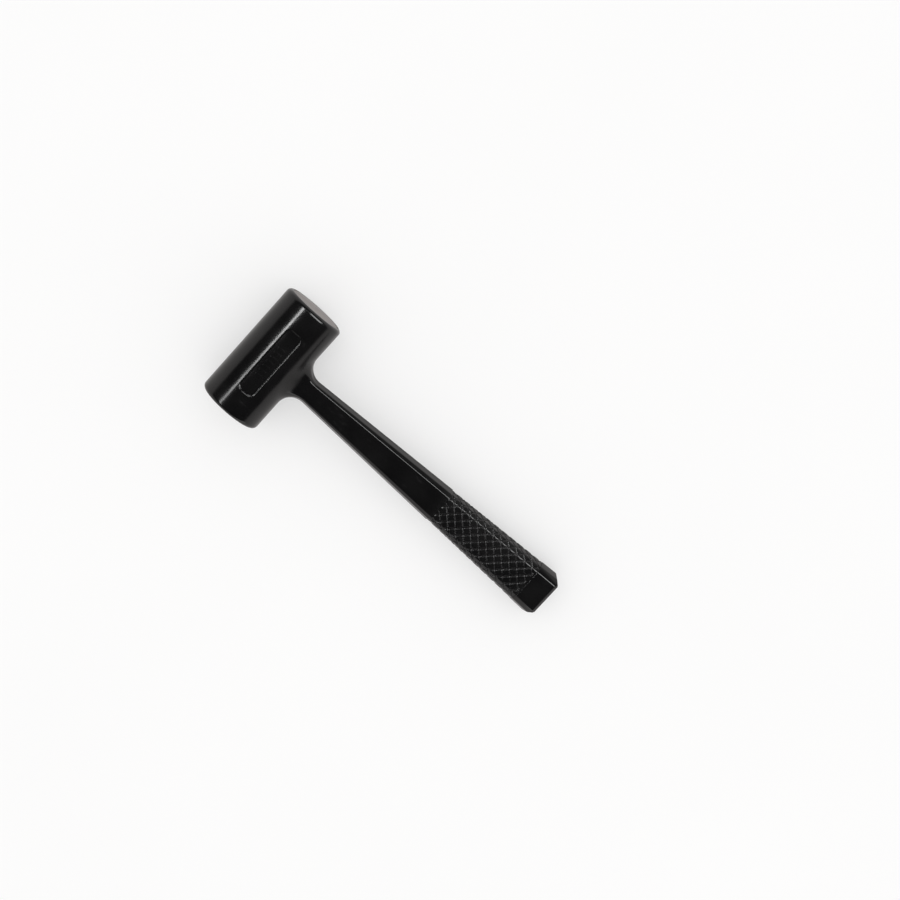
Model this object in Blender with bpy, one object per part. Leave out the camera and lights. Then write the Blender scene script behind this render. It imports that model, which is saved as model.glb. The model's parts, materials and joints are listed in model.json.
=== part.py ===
"""Dead blow mallet, lying on its side on a bench.

The mallet is modelled in its own frame: the head's axis is Y, the handle runs along +X from the head's
centre, and Z is the handle's thickness. The empty mallet_frame lifts it by the head's radius and tips it
until the butt touches the bench, so that in the world the bench is z = 0. A turn about Y keeps the
head's axis along Y, so both joints, the shot's roll about that axis and its slide along it, stay on Y.
"""

import math

import bmesh
import bpy

MM = 0.001
GAP = 0.3 * MM
CUT_MARGIN = 2 * MM
CUT_REACH = 20 * MM

# Head
HEAD_RADIUS = 25.5 * MM
HEAD_LENGTH = 100.2 * MM
HEAD_EDGE = 3.6 * MM
FACE_RADIUS = 21.4 * MM
FACE_THICKNESS = 8.4 * MM
FACE_EDGE = 0.5 * MM
HEAD_SEGMENTS = 64

# Neck: the fillets that flare the handle into the barrel
NECK_WIDTH_FILLET = 12.5 * MM
NECK_DEPTH_FILLET = 25 * MM
NECK_STATIONS = 9
NECK_ROOT = 13 * MM
NECK_LAP = 0.05 * MM

# Handle: it widens evenly from the neck to the butt. A quarter of its section runs from the ridge at
# mid-depth over a drafted side to the shoulder, and over a bevel to the flat front.
NECK_FLAT = 6.45 * MM
NECK_SHOULDER = 8 * MM
NECK_RIDGE = 9.95 * MM
NECK_HALF_DEPTH = 7.5 * MM
BUTT_FLAT = 12.8 * MM
BUTT_SHOULDER = 17.5 * MM
BUTT_RIDGE = 19.9 * MM
BUTT_HALF_DEPTH = 12.2 * MM
BEVEL_SLOPE = 0.88
BUTT_END = 281 * MM
BUTT_CORNER = 6.5 * MM
BUTT_RIM = 3 * MM
GRIP_START = 170 * MM
GRIP_END = 260.3 * MM
GRIP_WALL = 3.2 * MM
TANG_END = 265 * MM

# Steel inside
TUBE_RADIUS = 20 * MM
TUBE_WALL = 1.5 * MM
TUBE_LENGTH = HEAD_LENGTH - 2 * (FACE_THICKNESS + GAP)
CAP_WALL = 1.6 * MM
CAP_DEPTH = 7 * MM
CAP_BEND = 1.2 * MM
SADDLE_FOOT_RADIUS = 9 * MM
SADDLE_TOP_RADIUS = 6.9 * MM
SADDLE_TOP = 30 * MM
ROD_RADIUS = 5 * MM
ROD_START = 23 * MM
ROD_END = 269 * MM
ROD_CHAMFER = 1 * MM
ROD_SEGMENTS = 32

# Shot: solid steel of the loose pellets' own volume
BED_THICKNESS = 2.2 * MM
BED_HALF_ANGLE = math.radians(70)
BED_STEPS = 20
CHARGE_TOP = 1 * MM
CHARGE_LENGTH = 54 * MM
CHARGE_STEPS = 24

HEAD_END = HEAD_LENGTH / 2
TUBE_END = TUBE_LENGTH / 2
BORE_RADIUS = TUBE_RADIUS + GAP
SHOT_RADIUS = TUBE_RADIUS - TUBE_WALL - GAP
CAP_RADIUS = TUBE_RADIUS - TUBE_WALL - GAP
SHOT_END = TUBE_END - CAP_WALL - GAP

# The depth fillet touches both the handle's flat side and the barrel, so its centre lies one barrel
# radius plus one fillet radius from the head's axis.
DEPTH_FILLET_Z = NECK_HALF_DEPTH + NECK_DEPTH_FILLET
DEPTH_FILLET_X = math.sqrt((HEAD_RADIUS + NECK_DEPTH_FILLET) ** 2 - DEPTH_FILLET_Z**2)
WIDTH_FILLET_X = HEAD_RADIUS + NECK_WIDTH_FILLET
NECK_TOP = max(DEPTH_FILLET_X, WIDTH_FILLET_X)
NECK_MEETS_BARREL_X = DEPTH_FILLET_X * HEAD_RADIUS / (HEAD_RADIUS + NECK_DEPTH_FILLET)

REST_TILT = math.asin((HEAD_RADIUS - BUTT_HALF_DEPTH) / (BUTT_END - BUTT_RIM))


def clear_scene():
    for obj in list(bpy.data.objects):
        bpy.data.objects.remove(obj, do_unlink=True)


def material(name, color, roughness, metallic=0.0):
    made = bpy.data.materials.new(name)
    made.use_nodes = True
    shader = made.node_tree.nodes["Principled BSDF"]
    shader.inputs["Base Color"].default_value = (*color, 1)
    shader.inputs["Roughness"].default_value = roughness
    shader.inputs["Metallic"].default_value = metallic
    made.diffuse_color = (*color, 1)
    return made


def add_object(name, bm, parent, surface=None, smooth_below=math.radians(35)):
    """Turns a bmesh into an object under the parent. One with no surface is a cutter."""
    bmesh.ops.recalc_face_normals(bm, faces=bm.faces)
    mesh = bpy.data.meshes.new(name)
    bm.to_mesh(mesh)
    bm.free()
    obj = bpy.data.objects.new(name, mesh)
    bpy.context.scene.collection.objects.link(obj)
    obj.parent = parent
    if surface is None:
        obj.hide_render = True
        obj.display_type = "WIRE"
    else:
        mesh.materials.append(surface)
        mesh.shade_smooth()
        mesh.set_sharp_from_angle(angle=smooth_below)
    return obj


def boolean(obj, operation, other):
    modifier = obj.modifiers.new(f"{operation.lower()} {other.name}", "BOOLEAN")
    modifier.operation = operation
    modifier.solver = "EXACT"
    modifier.object = other


def bridge(bm, lower, upper):
    """Faces between two rings of as many points, or between a ring and a single point."""
    count = max(len(lower), len(upper))
    for i in range(count):
        j = (i + 1) % count
        corners = [lower[i % len(lower)], lower[j % len(lower)]]
        corners += [upper[j % len(upper)], upper[i % len(upper)]]
        bm.faces.new(list(dict.fromkeys(corners)))


def turned(profile, along, segments, closed=False):
    """A bmesh turned round the Y or X axis from (distance along the axis, radius) points."""
    bm = bmesh.new()
    rings = []
    for distance, radius in profile:
        ring = []
        for i in range(segments if radius > 0 else 1):
            angle = math.tau * i / segments
            across = (radius * math.cos(angle), radius * math.sin(angle))
            place = (across[0], distance, across[1]) if along == "Y" else (distance, *across)
            ring.append(bm.verts.new(place))
        rings.append(ring)
    for lower, upper in zip(rings, rings[1:] + rings[:1] if closed else rings[1:]):
        bridge(bm, lower, upper)
    return bm


def arc(centre, radius, start_deg, end_deg, steps):
    points = []
    for i in range(steps + 1):
        angle = math.radians(start_deg + (end_deg - start_deg) * i / steps)
        points.append((centre[0] + radius * math.cos(angle), centre[1] + radius * math.sin(angle)))
    return points


def along_handle(x, at_neck, at_butt):
    return at_neck + (at_butt - at_neck) * (x - NECK_TOP) / (BUTT_END - NECK_TOP)


def between(start, end, share):
    return start[0] + (end[0] - start[0]) * share, start[1] + (end[1] - start[1]) * share


def crossing(line_a, line_b):
    """Where two (nx, ny, distance) lines cross."""
    nx, ny, reach = line_a
    mx, my, span = line_b
    denominator = nx * my - ny * mx
    return (reach * my - ny * span) / denominator, (nx * span - reach * mx) / denominator


def quarter_corners(x, inset=0.0):
    """The (y, z) of the section's ridge, shoulder and flat's edge at x, each face moved in by the inset."""
    flat = along_handle(x, NECK_FLAT, BUTT_FLAT)
    shoulder = along_handle(x, NECK_SHOULDER, BUTT_SHOULDER)
    ridge = along_handle(x, NECK_RIDGE, BUTT_RIDGE)
    depth = along_handle(x, NECK_HALF_DEPTH, BUTT_HALF_DEPTH)
    shoulder_z = depth - BEVEL_SLOPE * (shoulder - flat)

    def face(start, end):
        across, up = end[1] - start[1], start[0] - end[0]
        length = math.hypot(across, up)
        return across / length, up / length, (across * start[0] + up * start[1]) / length - inset

    side = face((ridge, 0), (shoulder, shoulder_z))
    bevel = face((shoulder, shoulder_z), (flat, depth))
    front = (0, 1, depth - inset)
    middle = (0, 1, 0)
    return crossing(side, middle), crossing(side, bevel), crossing(bevel, front)


def section_points(ridge, shoulder, edge):
    """Thirty-two (y, z) points round a section: eight to a quarter, from +Y towards +Z."""
    quarter = []
    for start, end, steps in ((ridge, shoulder, 3), (shoulder, edge, 2), (edge, (0, edge[1]), 3)):
        quarter += [between(start, end, i / steps) for i in range(steps)]
    points = []
    for turn in range(4):
        for y, z in quarter if turn % 2 == 0 else [(0, edge[1])] + quarter[:0:-1]:
            points.append((-y if turn in (1, 2) else y, -z if turn in (2, 3) else z))
    return points


def handle_outline(x, inset=0.0):
    """The handle's section at x, which turns into an ellipse as the neck flares."""
    if x >= NECK_TOP:
        return section_points(*quarter_corners(x, inset))
    out_y = min(max(WIDTH_FILLET_X - x, 0), NECK_WIDTH_FILLET)
    out_z = min(max(DEPTH_FILLET_X - x, 0), DEPTH_FILLET_X - NECK_MEETS_BARREL_X)
    half_width = NECK_RIDGE + NECK_WIDTH_FILLET - math.sqrt(NECK_WIDTH_FILLET**2 - out_y**2)
    half_depth = DEPTH_FILLET_Z - math.sqrt(NECK_DEPTH_FILLET**2 - out_z**2)
    flared = min((NECK_TOP - x) / (NECK_TOP - HEAD_RADIUS), 1)
    straight = handle_outline(NECK_TOP)
    points = []
    for i, (y, z) in enumerate(straight):
        angle = math.tau * i / len(straight)
        stretched = (y * half_width / NECK_RIDGE, z * half_depth / NECK_HALF_DEPTH)
        rounded = (half_width * math.cos(angle), half_depth * math.sin(angle))
        points.append(between(stretched, rounded, flared))
    return points


def loft(sections):
    """A closed bmesh through (x, outline) sections, with a flat end at the first and the last."""
    bm = bmesh.new()
    rings = [[bm.verts.new((x, y, z)) for y, z in outline] for x, outline in sections]
    for lower, upper in zip(rings, rings[1:]):
        bridge(bm, lower, upper)
    bm.faces.new(rings[0])
    bm.faces.new(rings[-1])
    return bm


def neck_stations():
    """Stations closer together towards the barrel, where the flare turns fastest, and just clear of it."""
    foot = HEAD_RADIUS + NECK_LAP
    return [
        foot + (NECK_TOP - foot) * (1 - math.cos(math.pi / 2 * i / NECK_STATIONS))
        for i in range(NECK_STATIONS + 1)
    ]


def prism(outline, half_length, along="Y"):
    """A bar along Y or Z from its outline of (x, z) or (x, y) points."""
    bm = bmesh.new()
    rings = []
    for end in (-half_length, half_length):
        places = [(x, end, across) if along == "Y" else (x, across, end) for x, across in outline]
        rings.append([bm.verts.new(place) for place in places])
    bridge(bm, *rings)
    bm.faces.new(rings[0])
    bm.faces.new(rings[1])
    return bm


def make_cutters(parent):
    tang = loft([(x, handle_outline(x, GRIP_WALL)) for x in (GRIP_START - CUT_MARGIN, TANG_END + GAP)])
    rod_end = [(ROD_END + GAP, ROD_RADIUS + GAP), (ROD_END + GAP, 0)]
    rod = [(ROD_START - GAP, 0), (ROD_START - GAP, ROD_RADIUS + GAP)] + rod_end
    core = [
        (0, 0),
        (0, SADDLE_FOOT_RADIUS + GAP),
        (TUBE_RADIUS, SADDLE_FOOT_RADIUS + GAP),
        (SADDLE_TOP + GAP, SADDLE_TOP_RADIUS + GAP),
        (SADDLE_TOP + GAP, ROD_RADIUS + GAP),
    ] + rod_end
    cutters = {"tang": add_object("tang_cutter", tang, parent)}
    for name, profile in (("rod", rod), ("core", core)):
        cutters[name] = add_object(f"{name}_cutter", turned(profile, "X", ROD_SEGMENTS), parent)
    for name, radius in (("bore", BORE_RADIUS), ("root", (BORE_RADIUS + HEAD_RADIUS) / 2)):
        cylinder = [(-HEAD_END, 0), (-HEAD_END, radius), (HEAD_END, radius), (HEAD_END, 0)]
        cutters[name] = add_object(f"{name}_cutter", turned(cylinder, "Y", HEAD_SEGMENTS), parent)
    return cutters


def make_casing(parent, urethane, cutters):
    """Barrel, flared neck, shaft and tang in one casting, open at both ends of the barrel."""
    rim = arc((HEAD_END - HEAD_EDGE, HEAD_RADIUS - HEAD_EDGE), HEAD_EDGE, 90, 0, 6)
    mouth = FACE_RADIUS + GAP
    seat = TUBE_END + GAP
    half = rim + [(HEAD_END, mouth), (seat, mouth), (seat, BORE_RADIUS)]
    profile = half + [(-y, radius) for y, radius in half[::-1]]
    barrel = turned(profile, "Y", HEAD_SEGMENTS, closed=True)
    casing = add_object("mallet_casing", barrel, parent, urethane)

    stations = [NECK_ROOT, NECK_MEETS_BARREL_X] + neck_stations()
    sections = [(x, handle_outline(x)) for x in stations + [GRIP_START]]
    sections += [(x, handle_outline(x, GRIP_WALL + GAP)) for x in (GRIP_START, TANG_END)]
    shaft = add_object("shaft_blank", loft(sections), parent)
    boolean(shaft, "DIFFERENCE", cutters["root"])
    boolean(casing, "UNION", shaft)
    boolean(casing, "DIFFERENCE", cutters["core"])


def make_strike_face(name, side, parent, surface):
    """A disc that closes one end of the barrel. Side is 1 at the +Y end and -1 at the other."""
    inner = HEAD_END - FACE_THICKNESS
    profile = [
        (side * inner, 0),
        (side * inner, FACE_RADIUS),
        (side * (HEAD_END - FACE_EDGE), FACE_RADIUS),
        (side * HEAD_END, FACE_RADIUS - FACE_EDGE),
        (side * HEAD_END, 0),
    ]
    add_object(name, turned(profile, "Y", HEAD_SEGMENTS), parent, surface)


def make_grip(parent, rubber, cutters):
    sections = [(x, handle_outline(x)) for x in (GRIP_START + GAP, GRIP_END - GAP)]
    grip = add_object("grip_sleeve", loft(sections), parent, rubber)
    boolean(grip, "DIFFERENCE", cutters["tang"])


def make_butt_cap(parent, urethane, cutters):
    """The smooth end block, with a socket for the tang and the rod's end.

    Its corners are cut at 45 degrees in plan and its rims at 45 degrees in side view: each cut keeps
    what lies inside a long bar, whose outline runs from past the cap's root to its end.
    """
    blank = loft([(x, handle_outline(x)) for x in (GRIP_END, BUTT_END + CUT_MARGIN)])
    cap = add_object("butt_cap", blank, parent, urethane)
    for along, widest, cut in (("Z", BUTT_RIDGE, BUTT_CORNER), ("Y", BUTT_HALF_DEPTH, BUTT_RIM)):
        far = widest + CUT_REACH
        half = [(BUTT_END, widest - cut), (BUTT_END - cut - CUT_REACH, far), (GRIP_START, far)]
        outline = half + [(x, -across) for x, across in half[::-1]]
        keeper = add_object(f"butt_keeper_{along.lower()}", prism(outline, CUT_REACH * 2, along), parent)
        boolean(cap, "INTERSECT", keeper)
    boolean(cap, "DIFFERENCE", cutters["tang"])
    boolean(cap, "DIFFERENCE", cutters["rod"])


def make_canister(parent, steel):
    """A tube with a pressed cup in each end. The cups' floors close the ends, and their skirts point in."""
    inside = TUBE_RADIUS - TUBE_WALL
    wall = [(-TUBE_END, inside), (-TUBE_END, TUBE_RADIUS), (TUBE_END, TUBE_RADIUS), (TUBE_END, inside)]
    add_object("canister_tube", turned(wall, "Y", HEAD_SEGMENTS, closed=True), parent, steel)
    for name, side in (("canister_cap_right", 1), ("canister_cap_left", -1)):
        lip = TUBE_END - CAP_DEPTH
        floor = TUBE_END - CAP_WALL
        bend = arc((TUBE_END - CAP_BEND, CAP_RADIUS - CAP_BEND), CAP_BEND, 90, 0, 3)
        skirt = CAP_RADIUS - CAP_WALL
        profile = [(floor, 0), (floor, skirt), (lip, skirt), (lip, CAP_RADIUS)] + bend + [(TUBE_END, 0)]
        profile = [(side * y, radius) for y, radius in profile]
        add_object(name, turned(profile, "Y", HEAD_SEGMENTS), parent, steel)


def make_handle_core(parent, steel, cutters):
    """The saddle sits on the canister and holds the rod's end."""
    foot = [(ROD_RADIUS, 0), (ROD_RADIUS, SADDLE_FOOT_RADIUS), (TUBE_RADIUS, SADDLE_FOOT_RADIUS)]
    saddle_profile = foot + [(SADDLE_TOP, SADDLE_TOP_RADIUS), (SADDLE_TOP, 0)]
    saddle = add_object("rod_saddle", turned(saddle_profile, "X", ROD_SEGMENTS), parent, steel)
    boolean(saddle, "DIFFERENCE", cutters["bore"])
    boolean(saddle, "DIFFERENCE", cutters["rod"])

    rod_profile = [
        (ROD_START, 0),
        (ROD_START, ROD_RADIUS),
        (ROD_END - ROD_CHAMFER, ROD_RADIUS),
        (ROD_END, ROD_RADIUS - ROD_CHAMFER),
        (ROD_END, 0),
    ]
    add_object("core_rod", turned(rod_profile, "X", ROD_SEGMENTS), parent, steel)


def shot_axis(name, tipped):
    """An empty on the head's axis, turned back upright so that the shot lies at the canister's lowest side."""
    empty = bpy.data.objects.new(name, None)
    bpy.context.scene.collection.objects.link(empty)
    empty.parent = tipped
    empty.rotation_euler = (0, -REST_TILT, 0)
    return empty


def make_shot(tipped, steel):
    roll_axis = shot_axis("shot_roll_axis", tipped)
    lowest = -90
    spread = math.degrees(BED_HALF_ANGLE)
    outside = arc((0, 0), SHOT_RADIUS, lowest - spread, lowest + spread, BED_STEPS)
    inside = arc((0, 0), SHOT_RADIUS - BED_THICKNESS, lowest + spread, lowest - spread, BED_STEPS)
    skirt_clear = SHOT_END - CAP_DEPTH
    add_object("shot_bed", prism(outside + inside, skirt_clear), roll_axis, steel)

    charge_radius = SHOT_RADIUS - BED_THICKNESS - GAP
    level = math.degrees(math.asin(CHARGE_TOP / charge_radius))
    heap = arc((0, 0), charge_radius, -180 - level, level, CHARGE_STEPS)
    add_object("shot_charge", prism(heap, CHARGE_LENGTH / 2), roll_axis, steel)


def main():
    clear_scene()
    frame = bpy.data.objects.new("mallet_frame", None)
    bpy.context.scene.collection.objects.link(frame)
    rim_height = BUTT_HALF_DEPTH - BUTT_RIM
    length_in_world = HEAD_RADIUS + BUTT_END * math.cos(REST_TILT) + rim_height * math.sin(REST_TILT)
    frame.location = (HEAD_RADIUS - length_in_world / 2, 0, HEAD_RADIUS)
    frame.rotation_euler = (0, REST_TILT, 0)

    casing = material("casing", (0.012, 0.012, 0.013), 0.22)
    strike_face = material("strike_face", (0.05, 0.045, 0.043), 0.6)
    grip = material("grip", (0.014, 0.014, 0.015), 0.38)
    butt = material("butt", (0.012, 0.012, 0.013), 0.28)
    canister_steel = material("canister_steel", (0.55, 0.54, 0.52), 0.35, 1.0)
    shot_steel = material("shot_steel", (0.42, 0.41, 0.4), 0.3, 1.0)

    cutters = make_cutters(frame)
    make_casing(frame, casing, cutters)
    make_strike_face("strike_face_right", 1, frame, strike_face)
    make_strike_face("strike_face_left", -1, frame, strike_face)
    make_grip(frame, grip, cutters)
    make_butt_cap(frame, butt, cutters)
    make_canister(frame, canister_steel)
    make_handle_core(frame, canister_steel, cutters)
    make_shot(frame, shot_steel)


main()
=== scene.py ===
"""Dead blow mallet: the fine meshes, materials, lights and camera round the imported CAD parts.

Pieces are modelled in the mallet's own frame, as the CAD is: the head's axis is Y, the handle runs along
+X from the head's centre, and Z is the handle's thickness. REST then lays them on the floor.
"""

import json
import math
import random

import bmesh
import bpy
from mathutils import Matrix, Vector


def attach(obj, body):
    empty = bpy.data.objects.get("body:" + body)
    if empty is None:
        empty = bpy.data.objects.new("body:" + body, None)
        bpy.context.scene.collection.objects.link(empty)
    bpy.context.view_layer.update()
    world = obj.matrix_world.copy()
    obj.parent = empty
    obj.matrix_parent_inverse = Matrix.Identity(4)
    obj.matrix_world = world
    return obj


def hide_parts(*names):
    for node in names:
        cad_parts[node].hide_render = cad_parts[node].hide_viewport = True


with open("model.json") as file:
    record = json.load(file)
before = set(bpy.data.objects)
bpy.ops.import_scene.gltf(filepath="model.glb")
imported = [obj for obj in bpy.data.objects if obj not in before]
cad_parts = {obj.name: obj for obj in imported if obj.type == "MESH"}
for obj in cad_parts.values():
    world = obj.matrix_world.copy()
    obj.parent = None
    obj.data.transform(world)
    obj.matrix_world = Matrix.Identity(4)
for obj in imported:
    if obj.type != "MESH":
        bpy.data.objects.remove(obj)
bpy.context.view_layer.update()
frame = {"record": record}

MM = 0.001
GAP = 0.3 * MM
CUT_MARGIN = 2 * MM

# Head
HEAD_RADIUS = 25.5 * MM
HEAD_END = 50.1 * MM
HEAD_EDGE = 3.6 * MM
FACE_RADIUS = 21.4 * MM
FACE_THICKNESS = 8.4 * MM
FACE_EDGE = 0.7 * MM
FACE_WEAR = 0.12 * MM

# The length of one degree round the barrel
BARREL_DEGREE = math.radians(1) * HEAD_RADIUS

# The label recess on the barrel's front and back, with plain ribs in place of a mark
PANEL_HALF_LENGTH = 29.7 * MM
PANEL_HALF_WIDTH = 7.4 * MM
PANEL_CORNER = 4.5 * MM
PANEL_WALL = 1 * MM
PANEL_DEPTH = 0.66 * MM
RIB_PITCH = 4.2 * MM
RIB_COUNT = 7
RIB_HALF_WIDTH = 1.05 * MM
RIB_HALF_LENGTH = 3.4 * MM
RIB_HEIGHT = 0.11 * MM
RIB_SLOPE = 0.55 * MM

# The mould's parting line: a low ridge at mid-depth
FLASH_HEIGHT = 0.12 * MM
FLASH_HALF_WIDTH = 0.35 * MM

# Neck: where its flare leaves the barrel, as seen along X and round the barrel
NECK_TOP = 38.65 * MM
FOOT_HALF_WIDTH = 22.45 * MM
FOOT_HALF_ARC = 22.25 * MM
FLARE_PATCH_HALF_LENGTH = 36 * MM
FLARE_PATCH_HALF_ANGLE = 66
FLARE_RINGS = 22
SPREAD_RINGS = 12
SHOULDER_TURN = 18
EDGE_TURN = 50
CREASE_X = 32 * MM
SIDE_FULLNESS = 0.56
FRONT_FULLNESS = 0.86

# Handle, as in the CAD: ridge, drafted side, shoulder, bevel, flat
NECK_FLAT = 6.45 * MM
NECK_SHOULDER = 8 * MM
NECK_RIDGE = 9.95 * MM
NECK_HALF_DEPTH = 7.5 * MM
BUTT_FLAT = 12.8 * MM
BUTT_SHOULDER = 17.5 * MM
BUTT_RIDGE = 19.9 * MM
BUTT_HALF_DEPTH = 12.2 * MM
BEVEL_SLOPE = 0.88
BUTT_END = 281 * MM
BUTT_CORNER = 6.5 * MM
BUTT_RIM = 3 * MM
BUTT_ROUNDING = 0.6 * MM
GRIP_START = 170 * MM
GRIP_END = 260.3 * MM
GRIP_WALL = 3.2 * MM
TANG_END = 265 * MM
EDGE_REACH = 0.5 * MM

# Grip: raised diamonds between crossing grooves
GRIP_INSET = 0.35 * MM
GRIP_EDGE_REACH = 0.8 * MM
GROOVE_PERIOD = 8.1 * MM
GROOVE_DEPTH = 0.55 * MM
GROOVE_FLOOR = 0.25 * MM
GROOVE_TOP = 0.8 * MM
GRIP_BORDER = 1.4 * MM
GRIP_STEP = 0.36 * MM

# Steel inside
TUBE_RADIUS = 20 * MM
TUBE_WALL = 1.5 * MM
TUBE_LIP = 0.4 * MM
TUBE_END = HEAD_END - FACE_THICKNESS - GAP
CAP_RADIUS = TUBE_RADIUS - TUBE_WALL - GAP
CAP_WALL = 1.6 * MM
CAP_DEPTH = 7 * MM
CAP_BEND = 1.8 * MM
CAP_INNER_BEND = 0.8 * MM
BORE_RADIUS = TUBE_RADIUS + GAP
SADDLE_FOOT_RADIUS = 9 * MM
SADDLE_TOP_RADIUS = 6.9 * MM
SADDLE_TOP = 30 * MM
SADDLE_EDGE = 0.6 * MM
WELD_RISE = 1.5 * MM
WELD_WIDTH = 1.2 * MM
ROD_RADIUS = 5 * MM
ROD_START = 23 * MM
ROD_END = 269 * MM
ROD_CHAMFER = 1 * MM

# Grooves in the rod, which the cast urethane keys into
KEY_START = 80 * MM
KEY_COUNT = 8
KEY_PITCH = 6 * MM
KEY_WIDTH = 2 * MM
KEY_SLOPE = 0.5 * MM
KEY_DEPTH = 0.4 * MM

# Shot
PELLET_RADIUS = 1.9 * MM
PELLET_PITCH = 3.95 * MM
BED_HALF_LENGTH = 29.5 * MM
BED_HALF_ANGLE = 62
CHARGE_HALF_LENGTH = 25 * MM
CHARGE_RADIUS = 12.2 * MM
CHARGE_TOP = 3.2 * MM
PELLET_JITTER = 0.02 * MM
SHOT_SEED = 7

# How finely the meshes are divided: segments round an axis, and steps round an edge or a bend
FACE_SEGMENTS = 192
CORE_SEGMENTS = 96
ROD_SEGMENTS = 64
EDGE_STEPS = 4
BEND_STEPS = 8
RIM_STEPS = 10
SHAFT_RINGS = 24
FACE_RINGS = 26

# The barrel's steps, along it and in degrees round it
BARREL_STEP = 3 * MM
BARREL_END_STEPS = 4
FRONT_TURN_STEP = 3
BACK_TURN_STEP = 2.5

# The finer steps over a panel's walls, and how far these reach in from its outline and out of it
PANEL_STEP_ALONG = 0.32 * MM
PANEL_STEP_ACROSS = 0.26 * MM
PANEL_FINE_END = 5.2 * MM
PANEL_FINE_SIDE = 5 * MM
PANEL_FINE_MARGIN = 0.4 * MM

# Points on a quarter of the handle's section: side, bevel, flat and each rounded corner. The casing's
# flat is left out, because it follows from the hole in the barrel.
CASING_COUNTS = (10, 8, 8)
GRIP_COUNTS = (24, 17, 32, 5)
SOCKET_COUNTS = (6, 4, 8, 3)

# In degrees: edges sharper than these are shaded as creases, and the butt's are rounded
CREASE = 30
GRIP_CREASE = 50
BUTT_BEVEL_ABOVE = 12

# Colours, as linear light
BLACK = (0.0025, 0.0025, 0.0028)
SOFT_BLACK = (0.0045, 0.0044, 0.0046)
WORN_BLACK = (0.03, 0.0296, 0.0304)
FACE_DARK = (0.215, 0.196, 0.19)
FACE_LIGHT = (0.3, 0.275, 0.266)
SCORE_TONE = (0.4, 0.375, 0.365)
PIT_TONE = (0.07, 0.064, 0.062)
TUBE_DARK = (0.42, 0.41, 0.39)
TUBE_LIGHT = (0.6, 0.59, 0.57)
CORE_DARK = (0.36, 0.35, 0.34)
CORE_LIGHT = (0.5, 0.49, 0.47)
SHOT_DARK = (0.3, 0.29, 0.28)
SHOT_LIGHT = (0.5, 0.49, 0.47)
OIL_TONE = (0.2, 0.17, 0.14)

# Stage
FLOOR_HALF_SIZE = 6
FLOOR_DROP = 0.2 * MM
FLOOR_GLOW = 0.45
FLOOR_DARK = 0.955
FLOOR_LIGHT = 0.965
FLOOR_REFLECTED = (0.17, 0.15, 0.14)
ROOM_TINT = (1, 0.995, 0.99, 1)
ROOM_STRENGTH = 1.03

# The room as reflections see it: its strength falls off between two heights, as the Z of the direction
REFLECTED_TINT = (1, 0.97, 0.95, 1)
REFLECTED_HORIZON = 0.6
REFLECTED_OVERHEAD = 0.045
HORIZON_HEIGHT = 0.13
OVERHEAD_HEIGHT = 0.3

# Camera: up in its image points this far round from +X
CAMERA_PLACE = Vector((-0.130, 0.1894, 1.313))
CAMERA_TARGET = Vector((0.0216, 0.0349, 0))
CAMERA_UP_TURN = math.radians(132.1)
CAMERA_LENS = 68.6
CAMERA_SENSOR = 36
CAMERA_CLIP_START = 50 * MM

RECORD = frame["record"]
HEAD_CENTRE = Vector(next(j["pos_m"] for j in RECORD["behaviour"]["joints"] if j["name"] == "shot_roll"))
HANDLE_AXIS = next(m["axis"] for m in RECORD["mounts"] if m["name"] == "butt_end")
REST_TILT = math.atan2(-HANDLE_AXIS[2], HANDLE_AXIS[0])
REST = Matrix.Translation(HEAD_CENTRE) @ Matrix.Rotation(REST_TILT, 4, "Y")


# ---------------------------------------------------------------- shape helpers


def mix(start, end, share):
    return tuple(a + (b - a) * share for a, b in zip(start, end))


def toward(start, end, distance):
    return mix(start, end, distance / math.dist(start, end))


def smoothstep(low, high, value):
    share = min(max((value - low) / (high - low), 0), 1)
    return share * share * (3 - 2 * share)


def stops(start, end, coarse, fine, fine_spans):
    """Stations from start to end: the fine step inside the spans, the coarse one between them."""
    breaks = {start, end, (start + end) / 2}
    breaks |= {edge for span in fine_spans for edge in span if start < edge < end}
    breaks = sorted(breaks)
    found = [start]
    for low, high in zip(breaks, breaks[1:]):
        inside = any(a <= (low + high) / 2 <= b for a, b in fine_spans)
        count = max(1, round((high - low) / (fine if inside else coarse)))
        found += [low + (high - low) * i / count for i in range(1, count + 1)]
    return found


def straight(start, end, count):
    """Points from start to end, without the end."""
    return [mix(start, end, i / count) for i in range(count)]


def bend(start, corner, end, count):
    """Points round a corner on a parabola, without the end."""
    found = []
    for i in range(count):
        share = i / count
        found.append(mix(mix(start, corner, share), mix(corner, end, share), share))
    return found


def arc(centre, radius, start_deg, end_deg, steps):
    found = []
    for i in range(steps + 1):
        angle = math.radians(start_deg + (end_deg - start_deg) * i / steps)
        found.append((centre[0] + radius * math.cos(angle), centre[1] + radius * math.sin(angle)))
    return found


def add_piece(name, bm, replaced, body, surface, smooth_below=CREASE):
    """Turns a bmesh in the mallet's own frame into a piece that stands for one CAD node."""
    bmesh.ops.recalc_face_normals(bm, faces=bm.faces)
    mesh = bpy.data.meshes.new(name)
    bm.to_mesh(mesh)
    bm.free()
    mesh.transform(REST)
    obj = bpy.data.objects.new(name, mesh)
    bpy.context.scene.collection.objects.link(obj)
    finish_mesh(obj, surface, smooth_below)
    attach(obj, body)
    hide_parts(replaced)
    return obj


def finish_mesh(obj, surface, smooth_below):
    obj.data.materials.clear()
    obj.data.materials.append(surface)
    obj.data.shade_smooth()
    obj.data.set_sharp_from_angle(angle=math.radians(smooth_below))


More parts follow.
